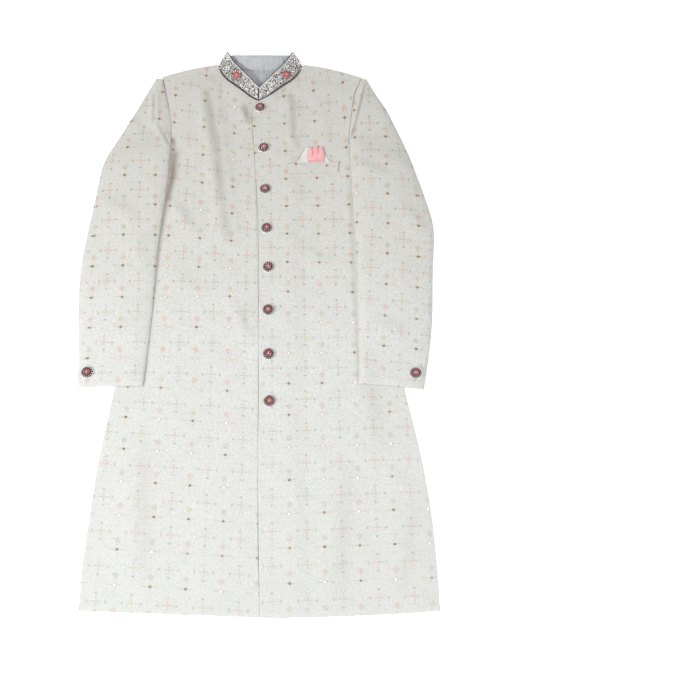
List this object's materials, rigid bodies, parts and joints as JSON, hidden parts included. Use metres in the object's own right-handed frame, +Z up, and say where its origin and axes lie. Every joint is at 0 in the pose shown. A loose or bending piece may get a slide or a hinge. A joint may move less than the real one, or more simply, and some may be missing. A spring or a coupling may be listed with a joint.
{
  "type": "sherwani coat",
  "caption": "Long closed sherwani coat laid flat on its back, with lapped fronts, folded-down sleeves, an embroidered stand collar, a breast welt and jewelled buttons.",
  "frame": {"origin": "middle of the coat's extent across and along, on the surface that it lies on", "axes": "+Y from the hem to the collar, +Z up out of the coat's front, +X towards the wearer's left sleeve"},
  "size_m": [0.683, 1.123, 0.0225],
  "materials": {
    "ivory_brocade": "ivory silk brocade with small raised motifs",
    "lavender_lining": "smooth pale lavender lining",
    "silver_embroidery": "dense silver and black thread and bead embroidery",
    "rose_applique": "rose pink silk applique",
    "pink_silk": "soft pink silk",
    "white_net": "sheer off-white cloth",
    "jewelled_metal": "oxidised metal set with pink stones and crystals"
  },
  "bodies": {
    "root": {"back_panel": "ivory_brocade", "back_lining": "lavender_lining", "neck_tab": "white_net", "right_front": "ivory_brocade", "left_front": "ivory_brocade", "right_top_sleeve": "ivory_brocade", "right_under_sleeve": "ivory_brocade", "left_top_sleeve": "ivory_brocade", "left_under_sleeve": "ivory_brocade", "collar": "silver_embroidery", "collar_lining": "lavender_lining", "collar_flower_right": "rose_applique", "collar_flower_left": "rose_applique", "pocket_welt": "ivory_brocade", "pocket_square": "pink_silk", "pocket_net": "white_net", "front_button_1": "jewelled_metal", "front_button_2": "jewelled_metal", "front_button_3": "jewelled_metal", "front_button_4": "jewelled_metal", "front_button_5": "jewelled_metal", "front_button_6": "jewelled_metal", "front_button_7": "jewelled_metal", "front_button_8": "jewelled_metal", "cuff_button_right": "jewelled_metal", "cuff_button_left": "jewelled_metal"}
  },
  "joints": []
}
